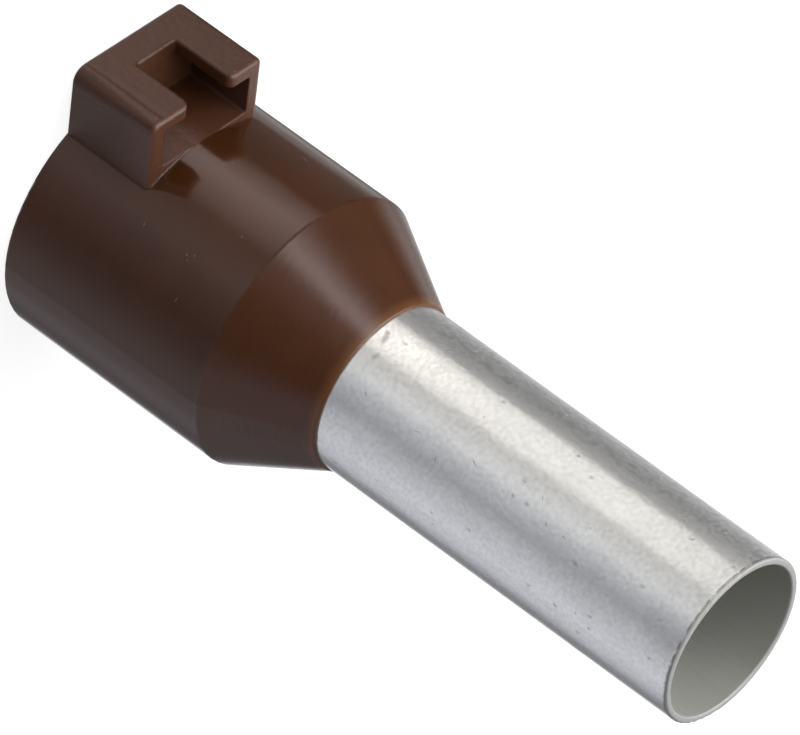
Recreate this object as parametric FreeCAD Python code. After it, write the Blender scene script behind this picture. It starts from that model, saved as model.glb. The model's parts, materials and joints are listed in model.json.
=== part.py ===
import FreeCAD, Part
import math
import os

# Wire ferrule for a 10 square millimetre conductor: a thin tinned copper sleeve in a plastic collar that
# carries a small marker holder. It stands on the collar's open end. The origin is the centre of that end,
# +Z runs along the axis to the sleeve's tip, and the marker holder is on the -Y side.
# All sizes are in millimetres, and angles are in radians.

# Copper sleeve
sleeve_bore_d = 4.5       # takes the bare strands
sleeve_wall = 0.2
sleeve_reach = 12.0       # length that stands clear of the collar's nose
flare_inset = 0.35        # how far the rim of its funnel end stands inside the collar's bore
throat_bend = 2.8         # bend from the straight tube into the funnel end, which starts under the nose
sleeve_edge = 0.06        # rounding of the cut ends

# Plastic collar
collar_length = 9.6
cone_length = 2.75
collar_d = 8.05
collar_wall = 0.375       # leaves a bore of 7.3 for the wire's insulation
cone_wall = 0.45
nose_lip = 0.06           # thin edge of plastic left on the sleeve at the nose
rim_edge = 0.1            # rounding outside the open end
entry_edge = 0.2          # rounding inside the open end, which leads the wire in
shoulder_round = 0.12     # the mould's crisp edge between cylinder and cone
funnel_round = 0.4

# Marker holder: two lips over a channel that is open to the front and on top, and closed behind
holder_width = 4.0
holder_length = 2.9       # from the collar's open end
holder_height = 1.62      # above the collar's outside
holder_shift = 0.1        # how far the holder stands to the +X side of the axis
channel_width = 3.13
channel_sink = 0.02       # the channel's floor below the collar's crown, which shows as a swell in the floor
lip_thickness = 0.4
web_thickness = 0.94      # wall that closes the channel behind
slot_width = 1.43         # gap between the lips
near_back_round = 0.45    # the long top edge on the +X side, at the back
near_front_round = 0.22   # the same edge at the front
far_edge_round = 0.18     # the long top edge on the -X side
end_edge = 0.13           # edges round the front and the back of the holder
near_lip_round = 0.3      # front corner of the lip on the +X side
far_lip_round = 0.22      # front corner of the lip on the -X side
slot_edge = 0.09          # top edges of the slot
channel_corner = 0.1      # inside corners of the channel and the slot
groove_inset = 0.5        # shallow groove along the top, from the holder's +X side
groove_width = 0.24
groove_depth = 0.022

# Worked out from the sizes above
sleeve_r = sleeve_bore_d / 2 + sleeve_wall
collar_r = collar_d / 2
bore_r = collar_r - collar_wall
flare_r = bore_r - flare_inset
nose_r = sleeve_r + nose_lip
shoulder_z = collar_length - cone_length
cone_angle = math.atan2(collar_r - nose_r, cone_length)
holder_top_y = -(collar_r + holder_height)
holder_near_x = holder_shift + holder_width / 2
holder_far_x = holder_shift - holder_width / 2


def inner_cone_z(radius):
    """Height at which the collar's inner cone, one cone wall inside the outer one, has this radius."""
    outer_z = shoulder_z + (collar_r - radius) / math.tan(cone_angle)
    return outer_z - cone_wall / math.sin(cone_angle)


throat_z = inner_cone_z(sleeve_r)


def in_section(r, z):
    """A point of the half section that is turned round the axis."""
    return FreeCAD.Vector(r, 0, z)


def across(z):
    """Places a flat outline square to the axis, at the height z."""
    return lambda x, y: FreeCAD.Vector(x, y, z)


def along(y):
    """Places a flat outline parallel to the axis, at the depth y."""
    return lambda x, z: FreeCAD.Vector(x, y, z)


def rounded_outline(corners, place):
    """Closed wire through the corners (u, v, radius), each rounded by a tangent arc of its radius."""
    points = [place(u, v) for u, v, radius in corners]
    joins = []
    for index, point in enumerate(points):
        radius = corners[index][2]
        back = (points[index - 1] - point).normalize()
        ahead = (points[(index + 1) % len(points)] - point).normalize()
        half_angle = back.getAngle(ahead) / 2
        reach = radius / math.tan(half_angle)
        depth = radius / math.sin(half_angle) - radius
        middle = point + (back + ahead).normalize() * depth
        joins.append((point + back * reach, middle, point + ahead * reach))
    edges = []
    for index, (start, middle, end) in enumerate(joins):
        if corners[index][2] > 0:
            edges.append(Part.Arc(start, middle, end).toShape())
        edges.append(Part.LineSegment(end, joins[(index + 1) % len(joins)][0]).toShape())
    return Part.Wire(edges)


def turned(corners):
    """Solid of revolution about the axis from a half section."""
    section = Part.Face(rounded_outline(corners, in_section))
    return section.revolve(FreeCAD.Vector(0, 0, 0), FreeCAD.Vector(0, 0, 1), 360)


def prism(corners, place, direction):
    """Solid from a flat outline moved along a direction."""
    return Part.Face(rounded_outline(corners, place)).extrude(FreeCAD.Vector(*direction))


def crimp_sleeve():
    """Straight thin tube whose hidden end opens into a funnel that lies against the collar's inner cone."""
    tip_z = collar_length + sleeve_reach
    flare_z = inner_cone_z(flare_r)
    inner_flare_r = flare_r - sleeve_wall * math.cos(cone_angle)
    inner_flare_z = flare_z - sleeve_wall * math.sin(cone_angle)
    inner_throat_z = throat_z - sleeve_wall * math.tan(cone_angle / 2)
    return turned([
        (sleeve_r, tip_z, sleeve_edge),
        (sleeve_r, throat_z, throat_bend),
        (flare_r, flare_z, sleeve_edge),
        (inner_flare_r, inner_flare_z, sleeve_edge),
        (sleeve_bore_d / 2, inner_throat_z, throat_bend + sleeve_wall),
        (sleeve_bore_d / 2, tip_z, sleeve_edge),
    ])


def collar_body():
    """Cylinder and cone, bored for the wire's insulation and seated on the sleeve."""
    return turned([
        (collar_r, 0, rim_edge),
        (collar_r, shoulder_z, shoulder_round),
        (nose_r, collar_length, 0),
        (sleeve_r, collar_length, 0),
        (sleeve_r, throat_z, throat_bend),
        (bore_r, inner_cone_z(bore_r), funnel_round),
        (bore_r, 0, entry_edge),
    ])


def edges_at(shape, **places):
    """Edges that lie flat at the given x, y or z."""
    def lies(edge):
        box = edge.BoundBox
        ends = {"x": (box.XMin, box.XMax), "y": (box.YMin, box.YMax), "z": (box.ZMin, box.ZMax)}
        return all(abs(end - place) < 1e-4 for axis, place in places.items() for end in ends[axis])
    return [edge for edge in shape.Edges if lies(edge)]


def holder_block():
    """Outside of the marker holder, down to the middle of the collar's wall."""
    corner = FreeCAD.Vector(holder_far_x, holder_top_y, 0)
    block = Part.makeBox(holder_width, -holder_top_y, holder_length, corner)
    block = block.makeFillet(near_back_round, near_front_round, edges_at(block, x=holder_near_x, y=holder_top_y))
    block = block.makeFillet(far_edge_round, edges_at(block, x=holder_far_x, y=holder_top_y))
    ends = edges_at(block, z=0) + edges_at(block, z=holder_length)
    block = block.makeFillet(end_edge, [edge for edge in ends if edge.BoundBox.YMin < -end_edge])
    root = Part.makeCylinder((collar_r + bore_r) / 2, holder_length)
    return block.cut(root)


def channel_cut():
    """Space for the marker's foot, under the lips."""
    floor_y = -(collar_r - channel_sink)
    ceiling_y = holder_top_y + lip_thickness
    near_x = holder_shift + channel_width / 2
    far_x = holder_shift - channel_width / 2
    return prism([
        (near_x, floor_y, channel_corner),
        (near_x, ceiling_y, channel_corner),
        (far_x, ceiling_y, channel_corner),
        (far_x, floor_y, channel_corner),
    ], across(web_thickness), (0, 0, holder_length))


def slot_cut():
    """Gap between the lips, with the lips' front corners rounded off."""
    side = slot_width / 2
    past = holder_width
    return prism([
        (side, web_thickness, channel_corner),
        (side, holder_length, near_lip_round),
        (past, holder_length, 0),
        (past, holder_length * 2, 0),
        (-past, holder_length * 2, 0),
        (-past, holder_length, 0),
        (-side, holder_length, far_lip_round),
        (-side, web_thickness, channel_corner),
    ], along(holder_top_y - holder_height), (0, holder_height + lip_thickness * 1.5, 0))


def groove_cut():
    """Round bar whose underside leaves the shallow groove in the top."""
    groove_r = (groove_width ** 2 / 4 + groove_depth ** 2) / (2 * groove_depth)
    middle = FreeCAD.Vector(holder_near_x - groove_inset, holder_top_y + groove_depth - groove_r, 0)
    return Part.makeCylinder(groove_r, holder_length, middle)


def soften_slot(holder):
    """Rounds the slot's top edges, as far as the rounded front of the lips."""
    inside = [
        edge for edge in edges_at(holder, y=holder_top_y)
        if edge.BoundBox.XMin > -slot_width and edge.BoundBox.XMax < slot_width
        and edge.BoundBox.ZMin > web_thickness / 2 and edge.BoundBox.ZMax < holder_length - end_edge + 1e-3
        and edge.BoundBox.XLength < slot_width
    ]
    return holder.makeFillet(slot_edge, inside)


def insulating_collar():
    """Collar and marker holder, moulded as one piece."""
    holder = soften_slot(holder_block().cut(channel_cut()).cut(slot_cut()).Solids[0]).cut(groove_cut())
    return collar_body().fuse(holder).removeSplitter()


parts = {
    "insulating_collar": insulating_collar(),
    "crimp_sleeve": crimp_sleeve(),
}

os.makedirs("parts", exist_ok=True)
for name, shape in parts.items():
    solid = shape.Solids[0]
    solid.exportStep("parts/" + name + ".step")
    box = solid.BoundBox
    print(name, "solids", len(shape.Solids), "valid", shape.isValid(), "volume", round(shape.Volume, 3))
    print("  x", round(box.XMin, 3), round(box.XMax, 3), "y", round(box.YMin, 3), round(box.YMax, 3),
          "z", round(box.ZMin, 3), round(box.ZMax, 3))
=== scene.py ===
import json
import math

import bmesh
import bpy
from mathutils import Matrix, Vector


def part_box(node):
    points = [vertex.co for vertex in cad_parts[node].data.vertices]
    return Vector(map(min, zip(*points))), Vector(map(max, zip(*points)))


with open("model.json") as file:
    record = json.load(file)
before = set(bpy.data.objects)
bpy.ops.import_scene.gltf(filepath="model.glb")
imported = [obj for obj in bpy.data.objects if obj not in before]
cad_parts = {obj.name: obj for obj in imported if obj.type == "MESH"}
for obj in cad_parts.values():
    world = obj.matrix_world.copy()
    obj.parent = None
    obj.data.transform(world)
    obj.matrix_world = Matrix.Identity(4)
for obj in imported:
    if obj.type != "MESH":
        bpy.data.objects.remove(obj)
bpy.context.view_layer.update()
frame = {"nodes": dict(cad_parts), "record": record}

MM = 0.001

# Sizes of the ferrule in millimetres, from the frame
MOUNT_SIZES = {mount["name"]: mount["dims"] for mount in frame["record"]["mounts"]}
SLEEVE_R = MOUNT_SIZES["sleeve_outside"]["r_mm"]
BORE_R = MOUNT_SIZES["conductor_bore"]["r_mm"]
COLLAR_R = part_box("insulating_collar")[1][0] / MM
NOSE_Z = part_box("insulating_collar")[1][2] / MM
HOLDER_TOP_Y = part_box("insulating_collar")[0][1] / MM
TIP_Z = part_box("crimp_sleeve")[1][2] / MM

# Sizes in millimetres that the frame doesn't give, as the part has them
CONE_LENGTH = 2.75
HOLDER_LENGTH = 2.9
LIP_THICKNESS = 0.4
SHOULDER_Z = NOSE_Z - CONE_LENGTH
LIP_UNDERSIDE_Y = HOLDER_TOP_Y + LIP_THICKNESS

# The camera looks at the ferrule from its holder side, a little above the floor, and is turned so that
# the sleeve points down to the right of the picture
CAMERA_AZIMUTH = math.radians(-50.54)
CAMERA_ELEVATION = math.radians(26.14)
CAMERA_ROLL = math.radians(-125.81)
CAMERA_DISTANCE = 254.73 * MM
CAMERA_AIM = Vector((-0.539, -0.444, 9.66)) * MM
CAMERA_LENS = 450.0
CAMERA_SENSOR = 36.0
CAMERA_CLIP_START = 0.01
CAMERA_CLIP_END = 20.0

# The floor is grey under the light, and it glows for the camera alone, so that it shows white
FLOOR_HALF = 600 * MM
FLOOR_GLOW = 0.86
FLOOR_COLOUR = (0.30, 0.30, 0.30, 1.0)

# The small light tent that stands round the ferrule. Its cloth is lit in six tiers, one above the other. The
# collar and the sleeve each show the tier that bears their name to the camera. Each panel of a tier has its
# points (bearing, brightness), with the bearing in degrees from the camera towards the holder's side, and the
# light changes evenly between them. The points began as the result of a fit to the brightness across the
# photo's sleeve, collar and cone, and were then changed, thinned out and rounded
TENT_RADIUS = 60 * MM
TENT_CENTRE = Vector((0, 0, 10)) * MM
TENT_FINENESS = 3
DEEP_TIER = {
    "lit paper": ((0, 0.5), (50, 0.8), (100, 0.8), (150, 0.6)),
    "shaded paper": ((210, 0.3), (320, 0.2)),
}
COLLAR_TIER = {
    "front fill": ((320, 0.2), (345, 0.4), (0, 0.65), (28, 0.5)),
    "key strip": ((36, 1.0), (50, 1.6), (62, 1.9), (76, 0.9)),
    "dark card": ((84, 0.2), (130, 0.2)),
    "back fill": ((150, 0.6), (165, 0.1)),
    "white back": ((180, 1.4), (190, 1.4)),
    "far card": ((205, 0.2), (220, 0.2)),
    "side fill": ((240, 0.5), (282, 0.5), (300, 0.3)),
}
SLEEVE_TIER = {
    "front fill": ((320, 0.3), (345, 0.5), (0, 0.7), (28, 0.5)),
    "key strip": ((36, 0.9), (56, 0.9), (76, 0.8)),
    "dark card": ((84, 0.2), (110, 0.05), (128, 0.15)),
    "back fill": ((145, 0.3), (165, 0.6)),
    "white back": ((180, 1.8), (190, 0.9)),
    "far card": ((205, 0.2), (220, 0.2)),
    "side fill": ((240, 0.55), (265, 0.7), (300, 0.5)),
}
HORIZON_TIER = {
    "front fill": ((330, 0.1), (0, 0.5), (30, 0.4)),
    "dark card": ((60, 0.3), (90, 0.3), (120, 0.1)),
    "back fill": ((135, 0.6), (170, 1.2), (190, 1.2)),
    "far card": ((205, 0.1), (230, 0.3)),
    "side fill": ((265, 0.7), (300, 0.3)),
}
UPPER_TIER = {
    "dark front": ((320, 0.1), (0, 0.15), (28, 0.55)),
    "key strip": ((34, 1.2), (41, 2.5), (48, 2.6), (60, 1.2)),
    "dark card": ((72, 0.35), (90, 0.2), (110, 0.2)),
    "back": ((150, 0.6), (180, 0.5), (200, 0.25)),
    "side fill": ((240, 0.3), (270, 0.5), (292, 0.5), (304, 0.3)),
}
TOP_TIER = {
    "soft roof": ((0, 0.7), (50, 3.5), (90, 6.6), (130, 2.8), (170, 0.9), (230, 0.1), (290, 0.1)),
}
WHITE = (1.0, 1.0, 1.0)
WARM = (1.0, 0.975, 0.92)
ROSE = (1.05, 0.95, 0.88)
COOL = (0.97, 0.98, 1.05)
# Each tier with the height at which it starts to take over from the one below it, the height at which it has
# done so, and the tints of its key side and of its fill side: -1 is the tent's lowest point and 1 its highest
TIERS = (
    (DEEP_TIER, -1.0, -0.99, WHITE, WHITE),
    (COLLAR_TIER, -0.80, -0.60, ROSE, COOL),
    (SLEEVE_TIER, -0.47, -0.41, WARM, COOL),
    (HORIZON_TIER, -0.26, -0.12, WARM, COOL),
    (UPPER_TIER, 0.04, 0.26, WHITE, COOL),
    (TOP_TIER, 0.52, 0.70, WHITE, WHITE),
)
KEY_BEARINGS = (20, 90)
FILL_BEARINGS = (200, 360)

# Words used in the finishes below, where all lengths are in millimetres. A fade is the start and the end of
# a soft step, measured from a place. Noise has a wave, which is the width of its lumps. Its spread is the
# part of its values over which it changes, and its levels are what it gives before and after. A relief is
# noise that stands up by its depth. A scatter puts a small spot in a share of its cells. A stray moves an
# outline about

# Spots: the soft step at their outline, in shares of their reach. The reach of a random spot is between
# SCATTER_LEAST and SCATTER_LEAST + 1 times its size
SPOT_OUTLINE = (0.3, 1.2)
SCATTER_OUTLINE = (0.2, 1.2)
SCATTER_LEAST = 0.4
NOISE_MIDDLE = (0.5, 0.5, 0.5)

# Brown moulded plastic
PLASTIC_COLOUR = (0.063, 0.0213, 0.0072, 1)
# Painted glow: a lighter warm brown on the thin nose that stands in for light shining through it
PLASTIC_THIN_PAINTED_GLOW_COLOUR = (0.18, 0.073, 0.023, 1)
# Painted light: a lighter brown on the holder's front faces and in its channel, standing in for the light and
# sheen that fall there
PLASTIC_FRONT_PAINTED_LIGHT_COLOUR = (0.095, 0.038, 0.020, 1)
PLASTIC_SHEEN_COLOUR = (1.0, 0.90, 0.92, 1)
# Painted light: a lighter, warmer brown along the lip edges, as a painted highlight and a glow of light
# through the thin edges
PLASTIC_EDGE_PAINTED_LIGHT_COLOUR = (0.19, 0.095, 0.055, 1)
PLASTIC_SPECK_COLOUR = (0.34, 0.26, 0.20, 1)
PLASTIC_IOR = 1.55
# Strengths of the painted glow on the nose, of the painted highlight on the lip edges, and of the specks
THIN_PAINTED_GLOW_STRENGTH = 0.55
EDGE_PAINTED_LIGHT_STRENGTH = 0.55
SPECK_STRENGTH = 0.30
PLASTIC_CLOUD = {"wave": 1.4, "detail": 3, "spread": (0.25, 0.75), "levels": (0.92, 1.08)}
PLASTIC_ROUGHNESS = {"wave": 0.5, "detail": 3, "spread": (0.2, 0.8), "levels": (0.095, 0.135)}
CONE_ROUGHER = 0.015
HOLDER_ROUGHER = 0.27
SPECK_ROUGHER = 0.25
PLASTIC_SAG = {"wave": 1.3, "detail": 1, "depth": 0.010}
HOLDER_RELIEF = {"wave": 0.16, "detail": 3, "depth": 0.012}
PLASTIC_GRAIN = {"wave": 0.10, "detail": 2, "depth": 0.0010}
CONE_RINGS = {"wave": 0.11, "detail": 2, "depth": 0.008, "stretch": (0.22, 0.22, 1)}
# Moulded edges: their radius, and the cosines of their turn at which their painted highlight colour is full
# and where it ends
PLASTIC_EDGE = 0.09
PLASTIC_EDGE_TURN = (0.80, 0.995)
PLASTIC_EDGE_SAMPLES = 4
LIP_FADE = (-0.15, 0.0)             # from the lips' underside
UNDER_LIP_FADE = (-0.04, 0.02)      # from the lips' underside
HOLDER_SIDE_FADE = (0.01, 0.05)     # from the collar's outside
HOLDER_END_FADE = (-0.01, 0.02)     # from the holder's front face
# The face and channel fades below mark where a lighter brown is painted as light on the holder's front and in
# its channel
HOLDER_FACE_FADE = (-0.14, -0.04)   # from the holder's front face
CHANNEL_FADE = (-1.5, -0.05)        # from the holder's front face
CHANNEL_HALF = 1.2                  # half of the width that counts as the channel's floor
CHANNEL_FLOOR_SINK = 0.06           # depth under the collar's outside to which it counts
CONE_FADE = (-0.02, 0.03)           # from the shoulder
# The nose's fade marks where the painted glow of light through the thin nose lies
NOSE_FADE = (-0.30, 0.0)            # from the end of the nose
# Light specks and scratches, each as (arc from the +X side, height, length, width, turn in degrees). An arc
# below zero runs towards the holder. Their places were picked on the photo, worked out on the surface
# and then rounded
PLASTIC_SPECKS = (
    (-3.4, 3.4, 0.10, 0.07, 20),
    (-3.4, 4.9, 0.10, 0.05, 70),
    (-3.3, 5.0, 0.07, 0.05, 0),
    (-3.5, 5.1, 0.08, 0.04, 40),
    (-2.3, 5.3, 0.20, 0.03, -7),
    (-8.0, 4.9, 0.42, 0.03, 75),
    (-4.6, 5.8, 0.07, 0.05, 0),
)
SPECK_STRAY = {"wave": 0.12, "reach": 0.05}
PLASTIC_SCATTER = {"cell": 0.9, "share": 0.2, "size": 0.03}
HOLDER_SCATTER = {"cell": 0.35, "share": 0.4, "size": 0.03}

# Tin on copper
TIN_COLOUR = (0.95, 0.955, 0.955, 1)
TIN_FLECK_COLOUR = (0.30, 0.29, 0.27, 1)
TIN_INSIDE_COLOUR = (0.395, 0.40, 0.366, 1)
TIN_INSIDE_DARK_COLOUR = (0.375, 0.38, 0.347, 1)
TIN_DULL_COLOUR = (0.42, 0.425, 0.42, 1)
TIN_RIM_COLOUR = (0.33, 0.33, 0.325, 1)
TIN_STAIN_COLOUR = (0.42, 0.39, 0.34, 1)
FLECK_STRENGTH = 0.42
STAIN_STRENGTH = 0.7
RIM_PATCH_STRENGTH = 0.8
TIN_CLOUD = {"wave": 0.7, "detail": 4}
TIN_MOTTLE = {"wave": 0.115, "detail": 5}
# Steps of the cloud and the mottle: the values between which they change, and what they give before and after
CLOUD_DULLNESS = (0.25, 0.75, 0.0, 0.05)
MOTTLE_DULLNESS = (0.35, 0.70, 0.0, 0.17)
CLOUD_ROUGHNESS = (0.2, 0.8, 0.13, 0.21)
CLOUD_STAINS = (0.3, 0.6)
TIN_METALLIC = 0.78
DULL_METALLIC = 0.35
FLECK_ROUGHER = 0.2
RIM_ROUGHNESS = 0.60
INSIDE_ROUGHNESS = 0.55
TIN_SWELL = {"wave": 1.6, "detail": 1, "depth": 0.024, "stretch": (1, 1, 0.6)}
TIN_RIPPLE = {"wave": 0.42, "detail": 2, "depth": 0.008, "stretch": (1, 1, 0.7)}
DRAWN_LINES = {"wave": 0.16, "detail": 2, "depth": 0.0015, "stretch": (1, 1, 0.06)}
FLECK_DEPTH = -0.0025
MOTTLE_DEPTH = 0.0028
INSIDE_STREAKS = {"wave": 0.14, "detail": 3, "spread": (0.3, 0.7), "stretch": (1, 1, 0.05)}
INSIDE_FADE = (0.03, 0.09)          # from the bore's wall
BELOW_RIM_FADE = (-0.05, -0.02)     # from the tip
RIM_FADE = (-0.10, -0.05)           # from the tip
# Dark uneven patches round the outer edge just under the cut rim
RIM_PATCH_FADE = (-0.14, -0.09)          # from the tip
RIM_PATCH_WALL_FADE = (0.10, 0.16)       # from the bore's wall
RIM_DARK_PATCHES = {"wave": 0.16, "detail": 3, "spread": (0.40, 0.54)}
# Strip along the sleeve where the tin is more worn, by the arc from the +X side. The soft step at its outline
# is in shares of its width, measured from its middle
WORN_STRIP_ARC = -5.1
WORN_STRIP_WIDTH = 1.7
WORN_STRIP_OUTLINE = (0.35, 0.6)
WORN_DULLNESS = 0.26
WORN_PITS = {"wave": 0.14, "detail": 5, "spread": (0.44, 0.62)}
# Dark flecks and stains, in the same form as the specks, and placed in the same way
TIN_FLECKS = (
    (-1.8, 10.5, 0.20, 0.06, 50),
    (-1.8, 12.3, 0.26, 0.03, 104),
    (-1.5, 13.1, 0.16, 0.06, 20),
    (-2.0, 14.1, 0.26, 0.03, 60),
    (-1.9, 15.5, 0.16, 0.09, 70),
    (-2.3, 16.2, 0.14, 0.05, 30),
    (-1.8, 16.7, 0.18, 0.04, 15),
    (-1.8, 17.3, 0.17, 0.04, 75),
)
TIN_STAINS = (
    (-3.3, 9.9, 0.55, 0.20, 25),
    (-2.8, 10.1, 0.40, 0.16, -10),
)
FLECK_STRAY = {"wave": 0.10, "reach": 0.08}
SCATTER_STRAY = {"wave": 0.08, "reach": 0.09}
TIN_SCATTER = {"cell": 0.34, "share": 0.30, "size": 0.055, "stretch": (1, 1, 0.7)}


# Small helpers for node trees

def new_material(name):
    material = bpy.data.materials.new(name)
    material.use_nodes = True
    material.node_tree.nodes.clear()
    return material


class Tree:
    """Adds nodes to a tree and joins them. Lengths are in millimetres, as `place` gives them."""

    def __init__(self, tree):
        self.tree = tree

    def node(self, kind, **settings):
        made = self.tree.nodes.new(kind)
        for key, value in settings.items():
            setattr(made, key, value)
        return made

    def join(self, value, socket):
        """Gives a socket a value, or links another node's output to it."""
        if isinstance(value, bpy.types.NodeSocket):
            self.tree.links.new(value, socket)
        else:
            socket.default_value = value

    def finish(self, shader, kind="ShaderNodeOutputMaterial"):
        """Ends the tree in this shader."""
        out = self.node(kind)
        self.join(shader.outputs[0], out.inputs["Surface"])

    def math(self, operation, *values):
        made = self.node("ShaderNodeMath", operation=operation)
        for value, socket in zip(values, made.inputs):
            self.join(value, socket)
        return made.outputs[0]

    def vector(self, operation, *values, output="Vector"):
        made = self.node("ShaderNodeVectorMath", operation=operation)
        for value, socket in zip(values, made.inputs):
            self.join(value, socket)
        return made.outputs[output]

    def both(self, first, second):
        """Where both masks are 1."""
        return self.math("MULTIPLY", first, second)

    def either(self, first, second):
        """Where one of the masks is 1."""
        return self.math("MAXIMUM", first, second)

    def window(self, value, low, high, out_low=0.0, out_high=1.0):
        """Smooth step of a value from low to high."""
        made = self.node("ShaderNodeMapRange", interpolation_type="SMOOTHSTEP")
        for given, name in ((value, "Value"), (low, "From Min"), (high, "From Max"),
                            (out_low, "To Min"), (out_high, "To Max")):
            self.join(given, made.inputs[name])
        return made.outputs["Result"]

    def past(self, value, place, fade):
        """0 before a place and 1 past it."""
        return self.window(value, place + fade[0], place + fade[1])

    def until(self, value, place, fade):
        """1 before a place and 0 past it."""
        return self.window(value, place + fade[0], place + fade[1], 1.0, 0.0)

    def mix(self, factor, first, second, kind="MIX"):
        """Colour between two others."""
        made = self.node("ShaderNodeMix", data_type="RGBA", blend_type=kind)
        self.join(factor, made.inputs["Factor"])
        self.join(first, made.inputs["A"])
        self.join(second, made.inputs["B"])
        return made.outputs["Result"]

    def paint(self, under, over, mask, strength):
        """One colour over another where the mask is 1."""
        return self.mix(self.math("MULTIPLY", mask, strength), under, over)

    def between(self, factor, first, second):
        """Number between two others."""
        made = self.node("ShaderNodeMix")
        self.join(factor, made.inputs["Factor"])
        self.join(first, made.inputs["A"])
        self.join(second, made.inputs["B"])
        return made.outputs["Result"]

    def raised(self, value, mask, amount):
        """The value, higher by the amount where the mask is 1."""
        return self.math("ADD", value, self.math("MULTIPLY", mask, amount))

    def place(self):
        """Point on the piece, and its three parts."""
        scaled = self.node("ShaderNodeVectorMath", operation="SCALE")
        self.join(self.node("ShaderNodeTexCoord").outputs["Object"], scaled.inputs[0])
        scaled.inputs["Scale"].default_value = 1 / MM
        parts = self.node("ShaderNodeSeparateXYZ")
        self.join(scaled.outputs[0], parts.inputs[0])
        return scaled.outputs[0], parts.outputs["X"], parts.outputs["Y"], parts.outputs["Z"]

    def flat(self, across, up):
        """Flat point from two lengths."""
        made = self.node("ShaderNodeCombineXYZ")
        self.join(across, made.inputs["X"])
        self.join(up, made.inputs["Y"])
        return made.outputs[0]

    def from_axis(self, x, y):
        """Distance from the ferrule's axis."""
        return self.vector("LENGTH", self.flat(x, y), output="Value")

    def arc(self, x, y, radius):
        """Arc length round the axis, from the +X side."""
        return self.math("MULTIPLY", self.math("ARCTAN2", y, x), radius)

    def noise(self, point, wave, detail, stretch=(1, 1, 1)):
        """Noise between 0 and 1 whose lumps are about one wave across."""
        mapped = self.node("ShaderNodeMapping")
        self.join(point, mapped.inputs["Vector"])
        mapped.inputs["Scale"].default_value = stretch
        made = self.node("ShaderNodeTexNoise")
        self.join(mapped.outputs[0], made.inputs["Vector"])
        made.inputs["Scale"].default_value = 1 / wave
        made.inputs["Detail"].default_value = detail
        return made.outputs[0]

    def patches(self, point, wave, detail, spread, levels=(0.0, 1.0), stretch=(1, 1, 1)):
        """Noise that goes from one level to the other over a spread of its values."""
        return self.window(self.noise(point, wave, detail, stretch), *spread, *levels)

    def strayed(self, skin, point, wave, reach):
        """Surface pushed about by noise, so that a spot on it has an uneven outline."""
        made = self.node("ShaderNodeTexNoise")
        self.join(point, made.inputs["Vector"])
        made.inputs["Scale"].default_value = 1 / wave
        made.inputs["Detail"].default_value = 1
        around = self.vector("SUBTRACT", made.outputs["Color"], NOISE_MIDDLE)
        return self.vector("ADD", skin, self.vector("MULTIPLY", around, (reach, reach, reach)))

    def bump(self, height, depth, normal):
        """Tilts the surface as if the height stood up by the depth."""
        made = self.node("ShaderNodeBump")
        made.inputs["Distance"].default_value = depth * MM
        self.join(height, made.inputs["Height"])
        if normal is not None:
            self.join(normal, made.inputs["Normal"])
        return made.outputs["Normal"]

    def relief(self, point, normal, wave, detail, depth, stretch=(1, 1, 1), where=None):
        """Noise that stands up from the surface, all over it or only where a mask is 1."""
        height = self.noise(point, wave, detail, stretch)
        if where is not None:
            height = self.math("MULTIPLY", height, where)
        return self.bump(height, depth, normal)

    def spots(self, skin, spots):
        """1 on the listed spots of the unrolled surface, and 0 elsewhere."""
        total = 0.0
        for arc, height, length, width, turn in spots:
            local = self.node("ShaderNodeMapping", vector_type="TEXTURE")
            self.join(skin, local.inputs["Vector"])
            local.inputs["Location"].default_value = (arc, height, 0)
            local.inputs["Rotation"].default_value = (0, 0, math.radians(turn))
            local.inputs["Scale"].default_value = (length / 2, width / 2, 1)
            reach = self.vector("LENGTH", local.outputs[0], output="Value")
            total = self.either(total, self.window(reach, *SPOT_OUTLINE, 1.0, 0.0))
        return total

    def scatter(self, point, cell, share, size, stretch=(1, 1, 1)):
        """1 on small random spots, in about this share of the cells that fill the space."""
        mapped = self.node("ShaderNodeMapping")
        self.join(point, mapped.inputs["Vector"])
        mapped.inputs["Scale"].default_value = stretch
        cells = self.node("ShaderNodeTexVoronoi")
        self.join(mapped.outputs[0], cells.inputs["Vector"])
        cells.inputs["Scale"].default_value = 1 / cell
        luck = self.node("ShaderNodeSeparateColor")
        self.join(cells.outputs["Color"], luck.inputs[0])
        chosen = self.math("LESS_THAN", luck.outputs[0], share)
        reach = self.math("MULTIPLY", self.math("ADD", luck.outputs[1], SCATTER_LEAST), size / cell)
        from_middle = self.math("DIVIDE", cells.outputs["Distance"], reach)
        return self.both(chosen, self.window(from_middle, *SCATTER_OUTLINE, 1.0, 0.0))


# Studio

def make_camera():
    data = bpy.data.cameras.new("camera")
    data.lens = CAMERA_LENS
    data.sensor_width = CAMERA_SENSOR
    data.sensor_fit = "HORIZONTAL"
    data.clip_start = CAMERA_CLIP_START
    data.clip_end = CAMERA_CLIP_END
    towards = Vector((math.cos(CAMERA_ELEVATION) * math.cos(CAMERA_AZIMUTH),
                      math.cos(CAMERA_ELEVATION) * math.sin(CAMERA_AZIMUTH),
                      math.sin(CAMERA_ELEVATION)))
    level_right = Vector((0, 0, 1)).cross(towards).normalized()
    level_up = towards.cross(level_right)
    up = level_up * math.cos(CAMERA_ROLL) + level_right * math.sin(CAMERA_ROLL)
    right = up.cross(towards)
    turn = Matrix((right, up, towards)).transposed().to_4x4()
    camera = bpy.data.objects.new("camera", data)
    camera.matrix_world = Matrix.Translation(CAMERA_AIM + towards * CAMERA_DISTANCE) @ turn
    bpy.context.scene.collection.objects.link(camera)
    bpy.context.scene.camera = camera


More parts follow.
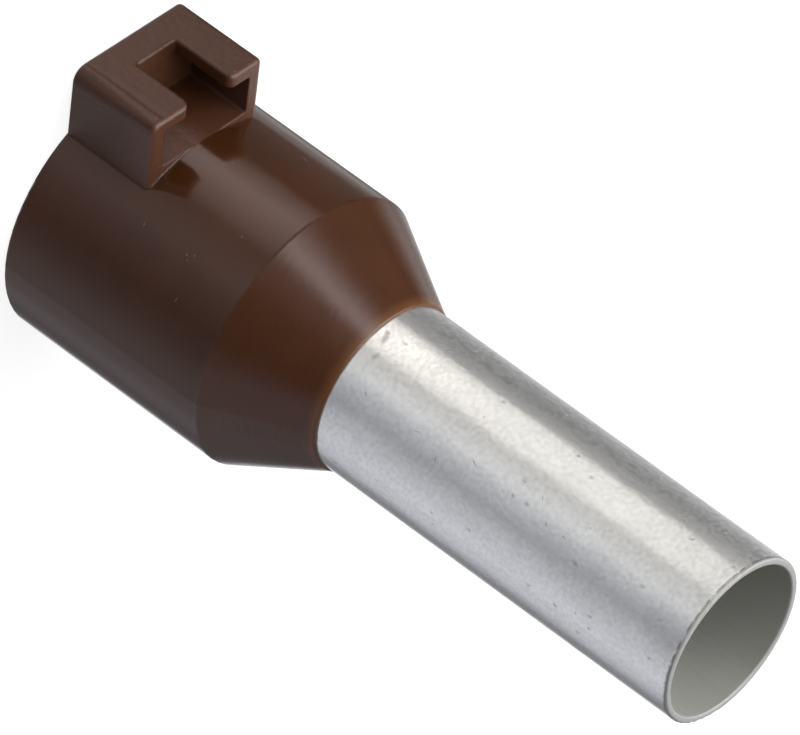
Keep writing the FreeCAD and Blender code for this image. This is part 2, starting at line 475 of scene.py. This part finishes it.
def pale_floor():
    """Grey matt floor that also glows for the camera."""
    material = new_material("pale floor")
    tree = Tree(material.node_tree)
    rays = tree.node("ShaderNodeLightPath")
    glow = tree.node("ShaderNodeEmission")
    glow.inputs["Strength"].default_value = FLOOR_GLOW
    matt = tree.node("ShaderNodeBsdfDiffuse")
    matt.inputs["Color"].default_value = FLOOR_COLOUR
    both = tree.node("ShaderNodeAddShader")
    tree.join(matt.outputs[0], both.inputs[0])
    tree.join(glow.outputs[0], both.inputs[1])
    shown = tree.node("ShaderNodeMixShader")
    tree.join(rays.outputs["Is Camera Ray"], shown.inputs[0])
    tree.join(matt.outputs[0], shown.inputs[1])
    tree.join(both.outputs[0], shown.inputs[2])
    tree.finish(shown)
    return material


def make_floor():
    """Floor that the camera sees, and that neither lights the ferrule nor shows in it."""
    mesh = bpy.data.meshes.new("floor")
    corners = [(x * FLOOR_HALF, y * FLOOR_HALF, 0) for x, y in ((-1, -1), (1, -1), (1, 1), (-1, 1))]
    mesh.from_pydata(corners, [], [(0, 1, 2, 3)])
    mesh.materials.append(pale_floor())
    floor = bpy.data.objects.new("floor", mesh)
    bpy.context.scene.collection.objects.link(floor)
    floor.visible_diffuse = False
    floor.visible_glossy = False
    floor.visible_transmission = False
    floor.visible_shadow = False


def tint_at(bearing, key_tint, fill_tint):
    if KEY_BEARINGS[0] <= bearing <= KEY_BEARINGS[1]:
        return key_tint
    if FILL_BEARINGS[0] <= bearing <= FILL_BEARINGS[1]:
        return fill_tint
    return WHITE


def tier_ramp(tree, turns, panels, key_tint, fill_tint):
    """Colour by bearing, in turns, for one tier of the tent. The last stop closes the round."""
    points = sorted(point for panel in panels.values() for point in panel)
    stops = [(bearing / 360, [level * part for part in tint_at(bearing, key_tint, fill_tint)])
             for bearing, level in points]
    stops.append((1.0, stops[0][1]))
    ramp = tree.node("ShaderNodeValToRGB")
    tree.join(turns, ramp.inputs[0])
    elements = ramp.color_ramp.elements
    while len(elements) < len(stops):
        elements.new(0.5)
    for element, (place, colour) in zip(elements, stops):
        element.position = place
        element.color = (*colour, 1)
    return ramp.outputs["Color"]


def lit_cloth():
    """Cloth that glows by its bearing from the camera's side and by its height."""
    material = new_material("lit tent cloth")
    tree = Tree(material.node_tree)
    away = tree.vector("SUBTRACT", tree.node("ShaderNodeTexCoord").outputs["Object"], tuple(TENT_CENTRE))
    parts = tree.node("ShaderNodeSeparateXYZ")
    tree.join(tree.vector("NORMALIZE", away), parts.inputs[0])
    bearing = tree.math("ARCTAN2", parts.outputs["Y"], parts.outputs["X"])
    from_camera = tree.math("SUBTRACT", CAMERA_AZIMUTH, bearing)
    turns = tree.math("FRACT", tree.math("DIVIDE", from_camera, 2 * math.pi))
    light = (0, 0, 0, 1)
    for panels, low, high, key_tint, fill_tint in TIERS:
        tier = tier_ramp(tree, turns, panels, key_tint, fill_tint)
        light = tree.mix(tree.window(parts.outputs["Z"], low, high), light, tier)
    glow = tree.node("ShaderNodeEmission")
    tree.join(light, glow.inputs["Color"])
    tree.finish(glow)
    material.cycles.emission_sampling = "NONE"
    return material


def make_tent():
    """Light tent that the camera doesn't see."""
    mesh = bpy.data.meshes.new("light tent")
    cloth = bmesh.new()
    bmesh.ops.create_icosphere(cloth, subdivisions=TENT_FINENESS, radius=TENT_RADIUS,
                               matrix=Matrix.Translation(TENT_CENTRE))
    cloth.to_mesh(mesh)
    cloth.free()
    mesh.materials.append(lit_cloth())
    tent = bpy.data.objects.new("light tent", mesh)
    bpy.context.scene.collection.objects.link(tent)
    tent.visible_camera = False


def make_world():
    world = bpy.data.worlds.new("white room")
    bpy.context.scene.world = world
    world.use_nodes = True
    world.node_tree.nodes.clear()
    tree = Tree(world.node_tree)
    background = tree.node("ShaderNodeBackground")
    background.inputs["Color"].default_value = (1, 1, 1, 1)
    tree.finish(background, kind="ShaderNodeOutputWorld")


# Brown moulded plastic

def plastic_masks(tree, x, y, z):
    """Masks for the holder, for its front with the channel behind it, which get a lighter brown as painted
    light, for the cone, and for the thin nose, which gets a painted glow.
    """
    beside_collar = tree.past(tree.from_axis(x, y), COLLAR_R, HOLDER_SIDE_FADE)
    in_channel = tree.math("LESS_THAN", tree.math("ABSOLUTE", x), CHANNEL_HALF)
    on_floor = tree.math("LESS_THAN", y, CHANNEL_FLOOR_SINK - COLLAR_R)
    behind_face = tree.until(z, HOLDER_LENGTH, HOLDER_END_FADE)
    holder = tree.both(behind_face, tree.either(beside_collar, tree.both(in_channel, on_floor)))
    face = tree.both(holder, tree.past(z, HOLDER_LENGTH, HOLDER_FACE_FADE))
    under_lips = tree.both(holder, tree.past(y, LIP_UNDERSIDE_Y, UNDER_LIP_FADE))
    channel = tree.both(under_lips, tree.past(z, HOLDER_LENGTH, CHANNEL_FADE))
    cone = tree.past(z, SHOULDER_Z, CONE_FADE)
    nose = tree.past(z, NOSE_Z, NOSE_FADE)
    return holder, tree.either(face, channel), cone, nose


def plastic_specks(tree, point, skin, holder):
    """The listed specks, and small random ones that are closer together on the holder."""
    listed = tree.spots(tree.strayed(skin, point, **SPECK_STRAY), PLASTIC_SPECKS)
    random = tree.scatter(point, **PLASTIC_SCATTER)
    on_holder = tree.both(holder, tree.scatter(point, **HOLDER_SCATTER))
    return tree.either(tree.either(listed, random), on_holder)


def clouded_brown(tree, point):
    """The body colour, times a cloudy shade."""
    shade = tree.patches(point, **PLASTIC_CLOUD)
    grey = tree.node("ShaderNodeCombineColor")
    for channel in grey.inputs:
        tree.join(shade, channel)
    return tree.mix(1.0, PLASTIC_COLOUR, grey.outputs[0], kind="MULTIPLY")


def finish_plastic():
    material = new_material("brown moulded plastic")
    tree = Tree(material.node_tree)
    point, x, y, z = tree.place()
    skin = tree.flat(tree.arc(x, y, COLLAR_R), z)
    holder, front, cone, nose = plastic_masks(tree, x, y, z)
    specks = plastic_specks(tree, point, skin, holder)

    # Moulded edges are soft, and on the lips a painted highlight and glow make them lighter and warmer
    edge = tree.node("ShaderNodeBevel", samples=PLASTIC_EDGE_SAMPLES)
    edge.inputs["Radius"].default_value = PLASTIC_EDGE * MM
    flat = tree.node("ShaderNodeNewGeometry").outputs["Normal"]
    turn = tree.vector("DOT_PRODUCT", edge.outputs[0], flat, output="Value")
    turned_away = tree.window(turn, *PLASTIC_EDGE_TURN, 1.0, 0.0)
    painted_light_lip_edges = tree.both(turned_away, tree.until(y, LIP_UNDERSIDE_Y, LIP_FADE))

    # Painted glow of light through the thin nose, over the body colour
    colour = tree.paint(clouded_brown(tree, point), PLASTIC_THIN_PAINTED_GLOW_COLOUR, nose, THIN_PAINTED_GLOW_STRENGTH)
    # Painted light: a lighter brown on the holder's front and in its channel
    colour = tree.mix(front, colour, PLASTIC_FRONT_PAINTED_LIGHT_COLOUR)
    colour = tree.paint(colour, PLASTIC_EDGE_PAINTED_LIGHT_COLOUR, painted_light_lip_edges, EDGE_PAINTED_LIGHT_STRENGTH)
    colour = tree.paint(colour, PLASTIC_SPECK_COLOUR, specks, SPECK_STRENGTH)

    rough = tree.patches(point, **PLASTIC_ROUGHNESS)
    rough = tree.raised(rough, cone, CONE_ROUGHER)
    rough = tree.raised(rough, holder, HOLDER_ROUGHER)
    rough = tree.raised(rough, specks, SPECK_ROUGHER)

    sagged = tree.relief(point, edge.outputs[0], **PLASTIC_SAG)
    dulled = tree.relief(point, sagged, where=holder, **HOLDER_RELIEF)
    grained = tree.relief(point, dulled, **PLASTIC_GRAIN)
    ringed = tree.relief(point, grained, where=cone, **CONE_RINGS)

    plastic = tree.node("ShaderNodeBsdfPrincipled")
    tree.join(colour, plastic.inputs["Base Color"])
    tree.join(rough, plastic.inputs["Roughness"])
    tree.join(ringed, plastic.inputs["Normal"])
    plastic.inputs["IOR"].default_value = PLASTIC_IOR
    plastic.inputs["Specular Tint"].default_value = PLASTIC_SHEEN_COLOUR
    tree.finish(plastic)
    return material


# Tin on copper

def tin_masks(tree, point, x, y, z):
    """Masks for the bore's wall, for the cut rim and for the dark uneven patches under it."""
    radius = tree.from_axis(x, y)
    below_rim = tree.until(z, TIP_Z, BELOW_RIM_FADE)
    inside = tree.both(tree.until(radius, BORE_R, INSIDE_FADE), below_rim)
    rim = tree.past(z, TIP_Z, RIM_FADE)
    under_rim_band = tree.both(tree.past(z, TIP_Z, RIM_PATCH_FADE), below_rim)
    outer_wall = tree.past(radius, BORE_R, RIM_PATCH_WALL_FADE)
    rim_dark_patches = tree.both(tree.both(under_rim_band, tree.patches(point, **RIM_DARK_PATCHES)), outer_wall)
    return inside, rim, rim_dark_patches


def tin_dullness(tree, point, arc, cloud, mottle):
    """How dull the tin is: a little by cloud and mottle, and more in the pits of the worn strip."""
    tone = tree.math("ADD", tree.window(cloud, *CLOUD_DULLNESS), tree.window(mottle, *MOTTLE_DULLNESS))
    off_strip = tree.math("ABSOLUTE", tree.math("SUBTRACT", arc, WORN_STRIP_ARC))
    strip_edge = [WORN_STRIP_WIDTH * share for share in WORN_STRIP_OUTLINE]
    worn = tree.window(off_strip, *strip_edge, 1.0, 0.0)
    pits = tree.patches(point, **WORN_PITS)
    return tree.raised(tone, tree.both(worn, pits), WORN_DULLNESS)


def finish_tin():
    material = new_material("tinned copper")
    tree = Tree(material.node_tree)
    point, x, y, z = tree.place()
    arc = tree.arc(x, y, SLEEVE_R)
    inside, rim, rim_dark_patches = tin_masks(tree, point, x, y, z)
    cloud = tree.noise(point, **TIN_CLOUD)
    mottle = tree.noise(point, **TIN_MOTTLE)

    skin = tree.strayed(tree.flat(arc, z), point, **FLECK_STRAY)
    scattered = tree.scatter(tree.strayed(point, point, **SCATTER_STRAY), **TIN_SCATTER)
    flecks = tree.either(tree.spots(skin, TIN_FLECKS), scattered)
    stains = tree.both(tree.spots(skin, TIN_STAINS), tree.window(cloud, *CLOUD_STAINS))

    colour = tree.mix(tin_dullness(tree, point, arc, cloud, mottle), TIN_COLOUR, TIN_DULL_COLOUR)
    colour = tree.paint(colour, TIN_FLECK_COLOUR, flecks, FLECK_STRENGTH)
    colour = tree.paint(colour, TIN_STAIN_COLOUR, stains, STAIN_STRENGTH)
    colour = tree.mix(rim, colour, TIN_RIM_COLOUR)
    # Dark uneven patches round the outer edge under the cut rim
    colour = tree.paint(colour, TIN_FLECK_COLOUR, rim_dark_patches, RIM_PATCH_STRENGTH)
    streaks = tree.patches(point, **INSIDE_STREAKS)
    colour = tree.mix(inside, colour, tree.mix(streaks, TIN_INSIDE_DARK_COLOUR, TIN_INSIDE_COLOUR))

    metallic = tree.between(tree.either(inside, rim), TIN_METALLIC, DULL_METALLIC)
    rough = tree.raised(tree.window(cloud, *CLOUD_ROUGHNESS), flecks, FLECK_ROUGHER)
    rough = tree.between(rim, rough, RIM_ROUGHNESS)
    rough = tree.between(inside, rough, INSIDE_ROUGHNESS)

    swelled = tree.relief(point, None, **TIN_SWELL)
    rippled = tree.relief(point, swelled, **TIN_RIPPLE)
    drawn = tree.relief(point, rippled, **DRAWN_LINES)
    dented = tree.bump(flecks, FLECK_DEPTH, drawn)
    mottled = tree.bump(mottle, MOTTLE_DEPTH, dented)

    metal = tree.node("ShaderNodeBsdfPrincipled")
    tree.join(colour, metal.inputs["Base Color"])
    tree.join(metallic, metal.inputs["Metallic"])
    tree.join(rough, metal.inputs["Roughness"])
    tree.join(mottled, metal.inputs["Normal"])
    tree.finish(metal)
    return material


def dress(node, material):
    """Gives one piece of the ferrule its finish."""
    piece = frame["nodes"][node]
    piece.data.materials.clear()
    piece.data.materials.append(material)


bpy.context.scene.view_settings.view_transform = "Standard"
make_camera()
make_floor()
make_tent()
make_world()
dress("insulating_collar", finish_plastic())
dress("crimp_sleeve", finish_tin())
